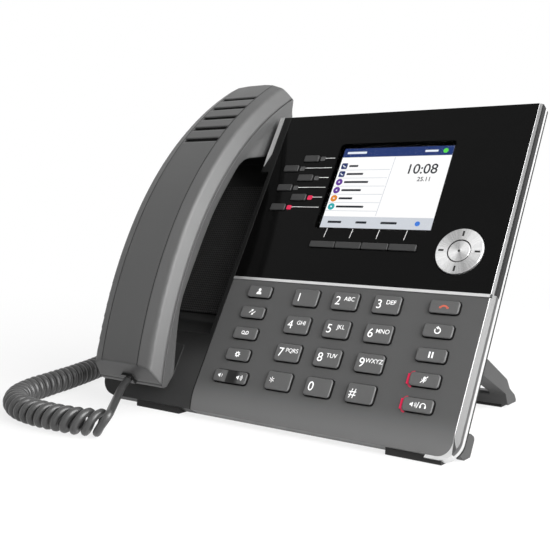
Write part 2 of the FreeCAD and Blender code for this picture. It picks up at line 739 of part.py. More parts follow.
def modular_jacks():
    """Two network jacks, a headset jack and the handset jack, open at the back."""
    jacks = []
    for middle, socket in jack_places():
        body = plate(middle, socket, (BACK, BACK + JACK_DEPTH + 4.0), 0.5, JACK_WALL)
        jacks.append(body.cut(plate(middle, socket, (BACK - 1, BACK + JACK_DEPTH), 0.3)))
    return Part.makeCompound(jacks)


def front_feet():
    """Two rubber feet under the front edge."""
    corners = [
        (0.0, FOOT_FRONT + 1.5, 0),
        (desk_v(FOOT_FRONT), FOOT_FRONT, 0.6),
        (desk_v(FOOT_REAR), FOOT_REAR, 0.6),
        (12.0, FOOT_REAR, 2.0),
        (12.0, FOOT_REAR + 6.5, 2.0),
        (4.0, SEAM, 0),
        (0.0, SEAM, 0),
    ]
    blockers = [rear_tub(0.0, BACK), silver_trim()] + heel_blocks()
    return Part.makeCompound([side_prism(corners, x).cut(blockers) for x in FEET])


def heel_blocks():
    """Blocks of the rear shell that come down beside its lower corners."""
    corners = [
        (desk_v(HEEL_FRONT), HEEL_FRONT, 0.6),
        (desk_v(HEEL_REAR), HEEL_REAR, 0.6),
        (17.0, HEEL_REAR, 2.0),
        (17.0, HEEL_REAR + 6.5, 2.0),
        (4.0, SEAM, 0),
    ]
    return [side_prism(corners, x) for x in HEELS]


def stand_profile():
    """Side outline of a stand leg on the desk, as (Y, Z, radius)."""
    top = lean_point(0, TONGUE[1] + 2, BACK - 0.4)
    foot = lean_point(0, TONGUE[0] - 2, BACK - 0.4)
    heel = [(125.5, 17.5, 5.0), (129.5, 11.5, 4.0), (137.0, 6.5, 3.0), (140.0, PAD_THICK, 1.0)]
    heel += [(127.0, PAD_THICK, 1.0), (123.5, 9.5, 3.0)]
    corners = [(top.y, top.z, 0)]
    corners += [(y + FACE_BACK, z, radius) for y, z, radius in heel]
    return corners + [(foot.y, foot.z, 0)]


def stand_frame():
    """Plug-in stand: two legs, the bar between their heels and two tongues."""
    legs = []
    for side in (-1, 1):
        x = sorted((side * STAND_HALF, side * (STAND_HALF - LEG_WIDTH)))
        legs.append(side_prism(stand_profile(), x))
        legs.append(lean(tongue(side, 0.0)))
    crest = [(123.5 + FACE_BACK, 9.5, 1.5), (132.5 + FACE_BACK, 9.0, 2.0)]
    bar = side_prism(crest + stand_profile()[3:6], (-STAND_HALF + 1, STAND_HALF - 1))
    return legs[0].fuse(legs[1:] + [bar]).removeSplitter()


def stand_pads():
    """Rubber strips under the stand's bar."""
    y = (128.5 + FACE_BACK, 138.5 + FACE_BACK)
    strips = [block(sorted((side * 30.0, side * 84.0)), y, (0.0, PAD_THICK)) for side in (-1, 1)]
    return Part.makeCompound(strips)


# Handset

def crown_axis(radius):
    """Point on the axis that the handset's crown turns about."""
    return vec(HANDSET_X, CROWN[0], CROWN[1] - radius)


def handset_bar(half_section):
    """Bent bar: a section of (half width, depth, radius) points turned along both crown arcs."""
    left = [(-half, depth, radius) for half, depth, radius in reversed(half_section)]

    def place(half, depth):
        return vec(HANDSET_X + half, CROWN[0], CROWN[1] - depth)

    section = Part.Face(rounded_wire(half_section + left, place))
    upper = section.revolve(crown_axis(CROWN_UPPER), Vec(1, 0, 0), -40)
    lower = section.revolve(crown_axis(CROWN_LOWER), Vec(1, 0, 0), 26)
    return upper.fuse(lower).removeSplitter()


def handset_side(inset):
    """Side outline of the handset: mouth end, arch, ear end; open above the crown."""
    corners = [
        MOUTH_END[1] + (0.0,),
        MOUTH_END[0] + (3.0,),
        (7.5, 8.0, 3.0),
        (15.5, 5.4, 6.0),
        (52.5, 22.2, 30.0),
        (112.0, 22.8, 120.0),
        (152.0, 16.5, 22.0),
        EAR_FACE[0] + (2.5,),
        EAR_FACE[1] + (6.0,),
        (217.2, -1.5, 5.0),
        (215.4, 54.0, 0.0),
    ]
    x = HANDSET_X - PARTING[0] - 5
    face = Part.Face(rounded_wire(corners, lambda v, w: vec(x, v, w)))
    if inset:
        face = Part.Face(face.makeOffset2D(-inset).Wires[0])
    return face.extrude(vec(2 * PARTING[0] + 10, 0, 0))


def handset_plan(inset):
    """Plan of the handset: straight sides and a bowed ear end with round corners."""
    half = PARTING[0] + 0.5 - inset
    corners = [
        (HANDSET_X - half, -5.0 + inset, 0),
        (HANDSET_X + half, -5.0 + inset, 0),
        (HANDSET_X + half, 212.4 - inset, 4.5),
        (HANDSET_X, 218.8 - inset, 40.0),
        (HANDSET_X - half, 212.4 - inset, 4.5),
    ]
    return plan_prism(corners, (-40, 70))


def handset_half(half_section, inner_section):
    """One shell of the handset: the outer form less its hollow."""
    outer = handset_bar(half_section).common(handset_side(0.0)).common(handset_plan(0.0))
    hollow = handset_bar(inner_section).common(handset_side(SHELL)).common(handset_plan(SHELL))
    return outer.cut(hollow)


def plug_frame(end):
    """Middle of the mouth end's slanted face and its outward direction, in v and w."""
    foot, head = MOUTH_END
    run = (head[0] - foot[0], head[1] - foot[1])
    length = math.hypot(*run)
    along = (run[0] / length, run[1] / length)
    middle = vec(PLUG_X, foot[0] + along[0] * 5.0, foot[1] + along[1] * 5.0)
    outward = vec(0, -along[1], along[0])
    return middle + outward * end, outward


def plug_block(inside, outside):
    """Square block along the mouth end's outward direction, about the plug."""
    start, outward = plug_frame(-inside)
    width, height = PLUG_SIZE
    body = Part.makeBox(width, height, inside + outside, vec(-width / 2, -height / 2, 0))
    body.Placement = FreeCAD.Placement(start, FreeCAD.Rotation(vec(0, 0, 1), outward))
    return body


def handset_outer_shell():
    """Outer shell: flat strip, two slanted shoulders and five slots over the ear."""
    half, depth = GROOVE
    section = [(STRIP_HALF - half, 0, 0), (STRIP_HALF, depth, 0), (STRIP_HALF + half, 0.05, 0)]
    section += [CREASE + (2.5,), PARTING + (0.0,)]
    inner = [(STRIP_HALF - 1, SHELL + 0.4, 0), (CREASE[0] - SHELL, CREASE[1] + SHELL, 0)]
    inner.append((PARTING[0] - SHELL, PARTING[1] + 1, 0))
    shell = handset_half(section, inner)
    slots = []
    for index in range(SLOT_COUNT):
        run = SLOT_FIRST - CROWN[0] + index * SLOT_PITCH
        half = (SLOT[0] / 2, SLOT[1] / 2)
        slot = block((HANDSET_X - half[0], HANDSET_X + half[0]), (-half[1], half[1]), (-SLOT[2], 3))
        slot.translate(vec(0, CROWN[0], CROWN[1]))
        slot.rotate(crown_axis(CROWN_UPPER), Vec(1, 0, 0), -math.degrees(math.asin(run / CROWN_UPPER)))
        slots.append(slot)
    return shell.cut(slots + [plug_block(14, 3)])


def ear_holes():
    """Ring of sound holes in the ear face and three in the mouth face."""
    holes = []
    middle_v = 186.0
    for index in range(7):
        angle = 2 * math.pi * index / 6
        reach = 0.0 if index == 6 else 6.0
        v = middle_v + reach * math.sin(angle)
        start = vec(HANDSET_X + reach * math.cos(angle), v, ear_face_w(v) - 2)
        holes.append(pin(start, vec(0, EAR_SLOPE, 1), 1.1, 5.5))
    for index in range(3):
        start = vec(HANDSET_X + (index - 1) * 4, 24.0, 5.0)
        holes.append(pin(start, vec(0, -MOUTH_SLOPE, 1), 0.8, 7.5))
    return holes


def handset_inner_shell():
    """Inner shell: the arch between the mouth end and the deep ear cup."""
    lip = PARTING[0] - 1.5 * GROOVE[1]
    seam = PARTING[1] + 2 * GROOVE[0]
    section = [(lip, PARTING[1], 0), (lip, seam, 0), (lip + GROOVE[1], seam, 0)]
    section += [WAIST + (12.0,), (WAIST[0], DEEPEST, 0.0)]
    inner = [(PARTING[0] - SHELL, PARTING[1] - 1, 0), (WAIST[0] - SHELL, WAIST[1], 0)]
    inner.append((WAIST[0] - SHELL, DEEPEST, 0))
    return handset_half(section, inner).cut(ear_holes() + [plug_block(14, 3)])


def handset_receiver():
    """Earpiece capsule behind the ear face."""
    slope = vec(0, EAR_SLOPE, 1).normalize()
    start = vec(HANDSET_X, 187.0, ear_face_w(187.0)) + slope * SHELL
    return pin(start, slope, 13.0, 5.0).fuse(pin(start + slope * 5.0, slope, 8.0, 4.0))


def handset_microphone():
    """Microphone capsule behind the mouth face."""
    slope = vec(0, -MOUTH_SLOPE, 1).normalize()
    start = vec(HANDSET_X, 26.0, 10.2) + slope * (SHELL + 0.4)
    return pin(start, slope, 4.8, 4.5)


def handset_plug():
    """Modular plug in the mouth end; the cord leaves its outer face."""
    return plug_block(11.0, PLUG_PROUD)


def base_plug():
    """Modular plug in the handset jack on the back."""
    level = (BACK - BASE_PLUG_PROUD, BACK + JACK_DEPTH)
    return plate((HANDSET_JACK_X, SMALL_JACK_V), PLUG_SIZE, level, 0.3)


# Curly cord

def biarc(start, along, end, arrive):
    """Two arcs from start to end that leave along one direction and arrive along the other."""
    chord = end - start
    both = along + arrive
    square = both.dot(both) - 4
    linear = -2 * chord.dot(both)
    root = math.sqrt(linear ** 2 - 4 * square * chord.dot(chord))
    reach = chord.dot(chord) / -linear if abs(square) < 1e-9 else (-linear - root) / (2 * square)
    first = start + along * reach
    second = end - arrive * reach
    middle = (first + second) * 0.5
    return [arc_between(start, first, middle), arc_between(middle, second, end)]


def coil_curve():
    """Smooth middle line of the coil on the desk."""
    height = COIL_RADIUS + WIRE / 2 + 0.2
    curve = Part.BSplineCurve()
    curve.interpolate([on_desk(x, y, height) for x, y in COIL_LINE])
    return curve


def coil_turns(run):
    """Turns made after a run along the middle line: loose at the front, then tight."""
    ratio = PITCH_LOOSE / PITCH_TIGHT - 1
    faded = math.log((1 + ratio * math.exp(-run / PITCH_FADE)) / (1 + ratio))
    return (run + PITCH_FADE * faded) / PITCH_TIGHT


def coil_path():
    """Points and directions of the wire at every quarter turn; the loose curls lean the most."""
    curve = coil_curve()
    length = curve.length()
    whole = math.floor(coil_turns(length)) - 0.5
    stretch = whole / coil_turns(length)

    def wire_point(run):
        parameter = curve.parameterAtDistance(run)
        along = curve.tangent(parameter)[0]
        side = along.cross(Vec(0, 0, 1))
        angle = 2 * math.pi * (stretch * coil_turns(run) - COIL_START)
        slant = along * (COIL_LEAN * math.exp(-run / PITCH_FADE))
        sideways = side * (COIL_RADIUS * math.sin(angle))
        return curve.value(parameter) + sideways + (slant - Vec(0, 0, COIL_RADIUS)) * math.cos(angle)

    def run_of(turns):
        low, high = 0.0, length
        for step in range(50):
            middle = (low + high) / 2
            if stretch * coil_turns(middle) < turns:
                low = middle
            else:
                high = middle
        return low

    step = 0.02
    places = []
    for quarter in range(int(round(whole * 4)) + 1):
        run = min(max(run_of(quarter / 4), step), length - step)
        direction = (wire_point(run + step) - wire_point(run - step)).normalize()
        places.append((wire_point(run), direction))
    return places, whole


def tail_edges(points, label):
    """Straight runs joined by the largest tangent arcs that fit; prints the radii."""
    edges = []
    radii = []
    here = points[0]
    for before, corner, after in zip(points, points[1:], points[2:]):
        back = before - corner
        ahead = after - corner
        reach = 0.45 * min(back.Length, ahead.Length)
        enter = corner + back.normalize() * reach
        leave = corner + ahead.normalize() * reach
        turn = math.pi - back.getAngle(ahead)
        radii.append(reach / math.tan(turn / 2))
        edges.append(Part.makeLine(here, enter))
        edges.append(arc_between(enter, corner, leave))
        here = leave
    edges.append(Part.makeLine(here, points[-1]))
    print(label, "radii", [round(radius, 1) for radius in radii])
    return edges


def least_gap(wire_edges):
    """Least distance between stretches of the wire, less its thickness."""
    points = []
    for edge in wire_edges:
        points += [(p.x, p.y, p.z) for p in edge.discretize(5)[:-1]]
    skip = 12
    least = 1e9
    for index, first in enumerate(points):
        for second in points[index + skip:]:
            least = min(least, math.dist(first, second))
    return least - WIRE


def handset_cord():
    """One unbroken wire: tail from the handset, the curls, and the tail to the base."""
    start, outward = plug_frame(PLUG_PROUD)
    start = lean_point(start.x, start.y, start.z)
    outward = lean_direction(outward.x, outward.y, outward.z)
    end = lean_point(HANDSET_JACK_X, SMALL_JACK_V, BACK - BASE_PLUG_PROUD)
    leave = lean_direction(0, 0, -1)
    places, whole = coil_path()
    first, first_way = places[0]
    last, last_way = places[-1]
    front = [start, start + outward * PLUG_LEAD, first - first_way * CURL_LEAD, first]
    back = [last, last + last_way * BASE_LEAD]
    back += [on_desk(*point) for point in BASE_TAIL]
    back += [end + leave * BASE_LEAD, end]
    edges = tail_edges(front, "handset tail")
    curls = []
    for (p, t), (q, u) in zip(places, places[1:]):
        curls += biarc(p, t, q, u)
    edges += curls
    edges += tail_edges(back, "base tail")
    path = Part.Wire(edges)
    profile = Part.Wire(Part.makeCircle(WIRE / 2, start, outward))
    tube = path.makePipeShell([profile], True, False)
    section = math.pi * WIRE ** 2 / 4
    print("cord turns", whole, "length", round(path.Length))
    print("cord volume", round(tube.Volume), "section times length", round(section * path.Length))
    print("cord least radius", round(min(edge.Curve.Radius for edge in curls), 2))
    print("cord least gap", round(least_gap(edges), 2))
    return tube


def main():
    os.makedirs("parts", exist_ok=True)
    pieces = {
        "front_housing": front_housing(),
        "display_fascia": display_fascia(),
        "display_window": display_window(),
        "lcd_module": lcd_module(),
        "silver_trim": silver_trim(),
        "lamp_lenses": lamp_lenses(),
        "key_mat": key_mat(),
        "main_board": main_board(),
        "loudspeaker": loudspeaker(),
        "cradle_housing": cradle_housing(),
        "speaker_grille": speaker_grille(),
        "hook_switch": hook_switch(),
        "rear_housing": rear_housing(),
        "housing_screws": housing_screws(),
        "modular_jacks": modular_jacks(),
        "front_feet": front_feet(),
        "handset_outer_shell": handset_outer_shell(),
        "handset_inner_shell": handset_inner_shell(),
        "handset_receiver": handset_receiver(),
        "handset_microphone": handset_microphone(),
        "handset_plug": handset_plug(),
        "base_plug": base_plug(),
    }
    pieces.update(all_keys())
    placed = {name: lean(shape) for name, shape in pieces.items()}
    placed["stand_frame"] = stand_frame()
    placed["stand_pads"] = stand_pads()
    bounds = FreeCAD.BoundBox()
    for name, shape in placed.items():
        if "plug" not in name:
            bounds.add(shape.optimalBoundingBox())
    print("box without the cord and plugs", bounds)
    placed["handset_cord"] = handset_cord()
    for name, shape in placed.items():
        solids = len(shape.Solids)
        print(name, "solids", solids, "valid", shape.isValid(), "volume", round(shape.Volume, 1))
        shape.exportStep("parts/%s.step" % name)


if __name__ == "__main__":
    main()
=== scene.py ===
import math

import bpy
import numpy as np
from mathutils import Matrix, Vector


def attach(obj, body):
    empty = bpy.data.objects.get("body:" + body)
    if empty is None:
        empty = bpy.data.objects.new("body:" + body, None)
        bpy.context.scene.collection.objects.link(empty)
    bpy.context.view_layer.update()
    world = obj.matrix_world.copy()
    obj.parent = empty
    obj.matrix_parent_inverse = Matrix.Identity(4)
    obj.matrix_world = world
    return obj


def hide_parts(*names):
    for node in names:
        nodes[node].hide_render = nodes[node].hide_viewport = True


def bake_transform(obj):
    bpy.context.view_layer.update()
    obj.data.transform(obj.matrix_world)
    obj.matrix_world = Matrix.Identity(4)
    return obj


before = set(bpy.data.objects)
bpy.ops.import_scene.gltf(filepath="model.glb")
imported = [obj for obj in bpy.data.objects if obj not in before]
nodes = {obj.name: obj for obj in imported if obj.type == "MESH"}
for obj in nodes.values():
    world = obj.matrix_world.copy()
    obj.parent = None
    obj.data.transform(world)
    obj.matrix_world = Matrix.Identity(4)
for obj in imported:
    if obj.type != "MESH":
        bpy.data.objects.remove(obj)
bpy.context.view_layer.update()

# Places, in millimetres, as in the part's source.
# A point of the face is (x, v, w): across, up the face, out of it.
MM = 0.001
TILT = math.radians(59)
FACE_CORNER = np.array([2.5, -60.4, 6.0])
FACE_AXES = np.array([
    [1, 0, 0],
    [0, math.cos(TILT), math.sin(TILT)],
    [0, -math.sin(TILT), math.cos(TILT)],
])
DESK_SHIFT = np.array([2.5, -60.4, 0.0])
KEY_RISE = 1.6
SIDE_WIDTH = 16.0
LINE_RISE = 1.0
LINE_PITCH = 6.64
SOFT_MIDDLE = 31.0
SOFT_WIDTH = 16.9
DIVIDER_TOP = 81.6
FACE_RIGHT = 111.0
SCREEN = np.array([-2.0, 117.0])
SCREEN_SIZE = (70.08, 52.56)
SCREEN_LEVEL = -2.5
NAV_MIDDLE = (89.0, 104.0)
CRADLE_RIGHT = -48.2
HANDSET_X = -82.5
CROWN = (95.0, 41.5)
CROWN_UPPER, CROWN_LOWER = 217.0, 269.0

# Where finishes change on one solid, in millimetres: w on the silver band, for its front's painted shade,
# its inlay and the painted shade behind its seam; on the handset, the distance from its middle, the depth
# under its crown and v from its crown, for the painted shade in its grooves, seam and slots; v of the lit
# lamps' top, of the fade of painted light on the panel's foot and of the fade of painted shade in the
# cradle;
# on keys, the height of a rim over the painted shade of their walls, and the saddle's place and fade
BAND_FRONT = (-4.8, -4.0)
BAND_INLAY = (-5.0, -0.9)
BAND_SEAM = -6.9
STRIP_EDGE = (13.7, 14.3)
SHELL_SEAM = (10.75, 11.35)
SLOT_RUN = (55.0, 112.0)
LIT_BELOW = 138.3
PANEL_FADE = (2.0, 20.0)
CRADLE_FADE = (22.0, 46.0)
KEY_RIM = 0.55
SADDLE_SHIFT, SADDLE_FADE = 1.5, (1.0, 5.5)

# Heights of print, its rise over the surface and its places on a dial key, in millimetres; the capital's
# share of the type's size
DIGIT, CAPTION, CLOCK, DATE = 4.8, 2.3, 6.0, 2.6
PRINT_RISE = 0.02
DIGIT_PLACE, STAR_PLACE, CAPTION_PLACE = (-4.2, 0.0), (-4.2, -0.9), (2.6, 1.3)
CAPITAL = 0.682

# Camera, in metres: the photograph's place and line of sight
CAMERA_PLACE = (0.2939, -0.4320, 0.1258)
CAMERA_WAY = (-0.5972, 0.7969, -0.0916)
LENS = 60.1

# Strength of the white world on everything but the backdrop that is seen; each lamp's name, place, size
# and power
AMBIENT = 0.3
LAMPS = (
    ("lamp_side", (1.4, -0.1, 0.5), 1.6, 90.0),
    ("lamp_key", (1.0, -0.6, 1.3), 1.2, 10.0),
)


def on_face(points):
    """Face points to the row frame in metres: each coordinate times its axis, summed, plus the
    face's corner."""
    return (np.asarray(points, float) @ FACE_AXES + FACE_CORNER) * MM


def on_desk(points):
    """Desk points to the row frame in metres: moved by the face corner's place on the desk."""
    return (np.asarray(points, float) + DESK_SHIFT) * MM


def mesh_points(mesh):
    points = np.empty(len(mesh.vertices) * 3, np.float32)
    mesh.vertices.foreach_get("co", points)
    return points.reshape(-1, 3).astype(float)


def face_middle(node):
    """Middle of a CAD node in face coordinates: its points less the face's corner, dotted with the
    axes, and the mean of the lowest and highest."""
    local = (mesh_points(nodes[node].data) / MM - FACE_CORNER) @ FACE_AXES.T
    return (local.min(0) + local.max(0)) / 2


# Finishes

class Link:
    """One socket of a finish. Arithmetic on links adds the Math nodes that work it out."""

    def __init__(self, finish, socket):
        self.finish = finish
        self.socket = socket

    def maths(self, operation, *values):
        return self.finish.add("ShaderNodeMath", {"operation": operation}, dict(enumerate(values)))

    def __add__(self, other):
        return self.maths("ADD", self, other)

    def __sub__(self, other):
        return self.maths("SUBTRACT", self, other)

    def __rsub__(self, other):
        return self.maths("SUBTRACT", other, self)

    def __mul__(self, other):
        return self.maths("MULTIPLY", self, other)

    def __gt__(self, other):
        return self.maths("GREATER_THAN", self, other)

    def __lt__(self, other):
        return self.maths("LESS_THAN", self, other)

    __radd__ = __add__
    __rmul__ = __mul__

    def wave(self):
        return self.maths("SINE", self)

    def size(self):
        return self.maths("ABSOLUTE", self)

    def held(self):
        """Held between 0 and 1."""
        return self.finish.add("ShaderNodeClamp", {}, {0: self})


class Nodes:
    """Node tree of a material or of the world; every node that it gains comes from add."""

    def __init__(self, owner):
        owner.use_nodes = True
        self.tree = owner.node_tree

    def fill(self, node, inputs):
        for name, value in inputs.items():
            if isinstance(value, Link):
                self.tree.links.new(value.socket, node.inputs[name])
            else:
                node.inputs[name].default_value = value

    def add(self, kind, settings, inputs, output=0):
        """A node of this kind, its settings first and then the values or links of its sockets."""
        node = self.tree.nodes.new(kind)
        for name, value in settings.items():
            setattr(node, name, value)
        self.fill(node, inputs)
        return Link(self, node.outputs[output])

    def backdrop_seen(self):
        """1 for rays from the camera, or by way of metal and glass; 0 for rays that carry light."""
        camera = self.add("ShaderNodeLightPath", {}, {}, "Is Camera Ray")
        rays = camera.socket.node.outputs
        return camera + Link(self, rays["Is Glossy Ray"]) + Link(self, rays["Is Transmission Ray"])


class Finish(Nodes):
    """A procedural material: constants go on the shader's sockets."""

    def __init__(self, name, **constants):
        self.material = bpy.data.materials.new(name)
        super().__init__(self.material)
        self.shader = self.tree.nodes["Principled BSDF"]
        self.set(**constants)

    def set(self, **inputs):
        """Values or links on the shader's sockets; an underscore stands for a space."""
        self.fill(self.shader, {name.replace("_", " "): value for name, value in inputs.items()})
        return self

    def point(self):
        return self.add("ShaderNodeTexCoord", {}, {}, "Object")

    def along(self, axis):
        """Face coordinate in millimetres: the point less the face's corner, dotted with an axis."""
        corner = {0: self.point(), 1: FACE_CORNER * MM}
        away = self.add("ShaderNodeVectorMath", {"operation": "SUBTRACT"}, corner)
        pair = {0: away, 1: FACE_AXES[axis] / MM}
        return self.add("ShaderNodeVectorMath", {"operation": "DOT_PRODUCT"}, pair, "Value")

    def noise(self, scale, stretch=(1, 1, 1), detail=2.0):
        """Noise over the object's own coordinates, finer along the axes with a larger stretch."""
        place = self.add("ShaderNodeMapping", {}, {"Vector": self.point(), "Scale": stretch})
        return self.add("ShaderNodeTexNoise", {}, {"Vector": place, "Scale": scale, "Detail": detail})

    def mix(self, low, high, share):
        """Colour between two colours."""
        return self.add("ShaderNodeMix", {"data_type": "RGBA"}, {0: share, 6: low, 7: high}, 2)

    def ramp(self, value, low, high):
        """Share from 0 at low to 1 at high, eased at both ends."""
        inputs = {"Value": value, "From Min": low, "From Max": high}
        return self.add("ShaderNodeMapRange", {"interpolation_type": "SMOOTHSTEP"}, inputs)

    def bump(self, height, depth, edge=0.0):
        """Height as relief of a depth in metres; edges look rounded by an edge radius in millimetres."""
        inputs = {"Distance": depth, "Height": height}
        if edge:
            inputs["Normal"] = self.add("ShaderNodeBevel", {"samples": 6}, {"Radius": edge * MM})
        return self.set(Normal=self.add("ShaderNodeBump", {}, inputs))


def grey(value, warm=0.0):
    return (value * (1 + warm), value, value * (1 - warm), 1.0)


def moulded(name, tone, grain=1.0, gloss=0.42, edge=0.6, shine=0.3):
    """Moulded plastic: slow drift of tone, spark-eroded grain in the bump, rubbed patches in the
    roughness."""
    finish = Finish(name, Specular_IOR_Level=shine)
    drift = finish.noise(26.0, detail=3.0)
    speck = finish.noise(2400.0)
    finish.set(
        Base_Color=finish.mix(grey(tone * 0.93), grey(tone * 1.07), 0.7 * drift + 0.3 * speck),
        Roughness=gloss + 0.1 * finish.noise(60.0, detail=4.0),
    )
    return finish.bump(speck, 0.00004 * grain, edge)


def toned(finish, share, tone):
    """The finish with its colour taken to another grey by a share."""
    colour = finish.shader.inputs["Base Color"].links[0].from_socket
    return finish.set(Base_Color=finish.mix(Link(finish, colour), grey(tone), share))


def handset_plastic(name):
    """Shell plastic with painted shade in its slots, in the seam groove between the shells and in the
    grooves beside the strip.
    The depth under the crown is the crown's radius less the distance from its axis, by the upper and
    the lower arc."""
    finish = moulded(name, 0.058, grain=0.8, gloss=0.34, edge=2.0, shine=0.32)
    away = (finish.along(0) - HANDSET_X).size()
    v, w = finish.along(1) - CROWN[0], finish.along(2) - CROWN[1]
    depth = 0.0
    for radius, half in ((CROWN_UPPER, v > 0.0), (CROWN_LOWER, v < 0.0)):
        square = v * v + (w + radius) * (w + radius)
        reach = finish.add("ShaderNodeMath", {"operation": "SQRT"}, {0: square})
        depth = depth + half * (radius - reach)
    # painted shade: slots, the seam groove and the grooves beside the strip toned near black
    slots = (away < STRIP_EDGE[0]) * (v > SLOT_RUN[0]) * (v < SLOT_RUN[1]) * (depth > 0.7)
    seam = (depth > SHELL_SEAM[0]) * (depth < SHELL_SEAM[1])
    lines = (away > STRIP_EDGE[0]) * (away < STRIP_EDGE[1]) * (depth < 1.0)
    return toned(finish, (slots + seam + lines).held(), 0.005)


def panel_plastic(name):
    """Shell plastic of the keypad panel, with painted light from the floor making it paler where its foot
    rolls over.
    """
    finish = moulded(name, 0.062)
    # painted light: the foot's roll-over toned paler, standing in for the floor's reflection
    return toned(finish, 1.0 - finish.ramp(finish.along(1), *PANEL_FADE), 0.12)


def cradle_plastic(name):
    """Shell plastic with painted shade: black behind the mouth seat, where the floor goes down into the
    trough, at its seam and on what stands over the face."""
    finish = moulded(name, 0.032, shine=0.12)
    # painted shade: trough floor, seam with the panel and raised parts toned near black
    floor = finish.ramp(finish.along(1), *CRADLE_FADE)
    seam = finish.along(0) > CRADLE_RIGHT - 0.5
    raised = finish.along(2) > 0.3
    return toned(finish, (floor + seam + raised).held(), 0.006)


def key_plastic(name, tone, top):
    """Key caps: walls under a rim at the top painted black as shade in the gaps round the keys."""
    finish = moulded(name, tone, grain=0.5, gloss=0.4, edge=0.45)
    # painted shade: walls below the rim toned near black
    return toned(finish, finish.along(2) < top - KEY_RIM, 0.006)


def rocker_plastic(name, middle):
    """The volume key: a cap that turns darker towards a saddle between its two signs."""
    finish = key_plastic(name, 0.07, KEY_RISE)
    away = (finish.along(0) - middle - SADDLE_SHIFT).size()
    return toned(finish, 1.0 - finish.ramp(away, *SADDLE_FADE), 0.004)


def gloss_black(name):
    """Piano-black plastic with faint wipe marks in its gloss."""
    finish = Finish(name, Specular_IOR_Level=0.07)
    wipe = finish.noise(9.0, (1.0, 4.0, 4.0), 5.0)
    return finish.set(
        Base_Color=finish.mix(grey(0.0015), grey(0.0025), wipe),
        Roughness=0.05 + 0.09 * wipe,
    )


def brushed_silver(name):
    """Satin silver with faint lines along the band: painted shade makes it greyer in front than at the
    side, with a glossy dark inlay beside the upper panel and painted shade behind the seam at its back."""
    finish = Finish(name, Specular_IOR_Level=0.1)
    x, v, w = finish.along(0), finish.along(1), finish.along(2)
    lines = finish.noise(160.0, (1.0, 0.02, 0.02), 2.0)
    side = x > FACE_RIGHT + 0.2
    strip = side * (v > DIVIDER_TOP) * (w < BAND_INLAY[1]) * (w > BAND_INLAY[0])
    # real dark inlay, plus painted shade on the band's back behind the seam
    inlay_and_seam_shade = (strip + side * (w < BAND_SEAM)).held()
    # painted shade: the band's front toned greyer than its side, which faces the lamp
    front = side * finish.ramp(w, *BAND_FRONT)
    tone = finish.mix(finish.mix(grey(0.6), grey(0.68), lines), grey(0.1), front)
    return finish.set(
        Base_Color=finish.mix(tone, grey(0.006), inlay_and_seam_shade),
        Metallic=0.85 - 0.85 * inlay_and_seam_shade,
        Roughness=0.26 + 0.06 * lines,
    )


def spun_silver(name):
    """Spun disc: rings about its middle, and painted reflection by angle: light and dark fans and fine rays
    where the spun lines would catch the light.
    """
    finish = Finish(name)
    x, v = finish.along(0) - NAV_MIDDLE[0], finish.along(1) - NAV_MIDDLE[1]
    turn = finish.add("ShaderNodeMath", {"operation": "ARCTAN2"}, {0: v, 1: x})
    reach = finish.add("ShaderNodeMath", {"operation": "SQRT"}, {0: x * x + v * v})
    # painted reflection: fans and rays by angle stand in for the spun lines' highlight
    fans = 0.5 + 0.5 * (2.0 * turn + 0.6).wave()
    rays = 0.5 + 0.5 * (31.0 * turn + 3.0 * (9.0 * turn).wave()).wave()
    rings = 0.5 + 0.5 * (24.0 * reach).wave()
    return finish.set(
        Base_Color=finish.mix(grey(0.3), grey(0.82), 0.75 * fans + 0.15 * rays + 0.1 * rings),
        Metallic=0.8,
        Roughness=0.26 + 0.06 * rings,
    ).bump(rings, 0.00001)


def woven_mesh(name):
    """Black mesh: round openings in a diagonal grid, darker and lower than the wire between them."""
    finish = Finish(name, Specular_IOR_Level=0.1)
    x, v = finish.along(0), finish.along(1)
    pitch = 3.0
    turn = 2 * math.pi / pitch
    wire = (turn * (x + v)).wave() * (turn * (x - v)).wave()
    web = (0.55 + 0.9 * wire).held()
    return finish.set(
        Base_Color=finish.mix(grey(0.0005), grey(0.022), web),
        Roughness=0.5 + 0.2 * finish.noise(300.0),
    ).bump(web, 0.0003)


def soft_rubber(name, tone):
    """Dull rubber with dusty patches."""
    finish = Finish(name, Specular_IOR_Level=0.3)
    dust = finish.noise(90.0, detail=5.0)
    finish.set(
        Base_Color=finish.mix(grey(tone * 0.8), grey(tone * 1.3, 0.02), dust),
        Roughness=0.6 + 0.25 * dust,
    )
    return finish.bump(finish.noise(1500.0), 0.00004)


def lamp_red(name):
    """Red lenses: the line lamps of the two lowest rows and the strips beside the lit keys glow."""
    finish = Finish(name, Specular_IOR_Level=0.3, Emission_Strength=0.5)
    lit = finish.along(1) < LIT_BELOW
    haze = finish.noise(500.0)
    glow = finish.mix((0.7, 0.01, 0.07, 1), (0.9, 0.03, 0.12, 1), haze)
    return finish.set(
        Base_Color=finish.mix(grey(0.05), (0.25, 0.004, 0.025, 1), lit),
        Emission_Color=finish.mix(grey(0.0), glow, lit),
        Roughness=0.18 + 0.1 * haze,
    )


def shaded(colour, share):
    """Colour with each channel times a share."""
    return tuple(channel * share for channel in colour) + (1.0,)


def screen_light(name, colour):
    """Lit picture area: one colour with the slight unevenness of its backlight."""
    finish = Finish(name, Base_Color=grey(0.003), Roughness=0.4, Specular_IOR_Level=0.05)
    uneven = finish.mix(shaded(colour, 0.98), shaded(colour, 1.0), finish.noise(18.0))
    return finish.set(Emission_Strength=1.0, Emission_Color=uneven)


def printed(name, colour):
    """Printing ink: slightly uneven cover."""
    finish = Finish(name, Specular_IOR_Level=0.3)
    cover = finish.noise(700.0, detail=4.0)
    return finish.set(
        Base_Color=finish.mix(shaded(colour, 0.86), shaded(colour, 1.0), cover),
        Roughness=0.5 + 0.15 * cover,
    )


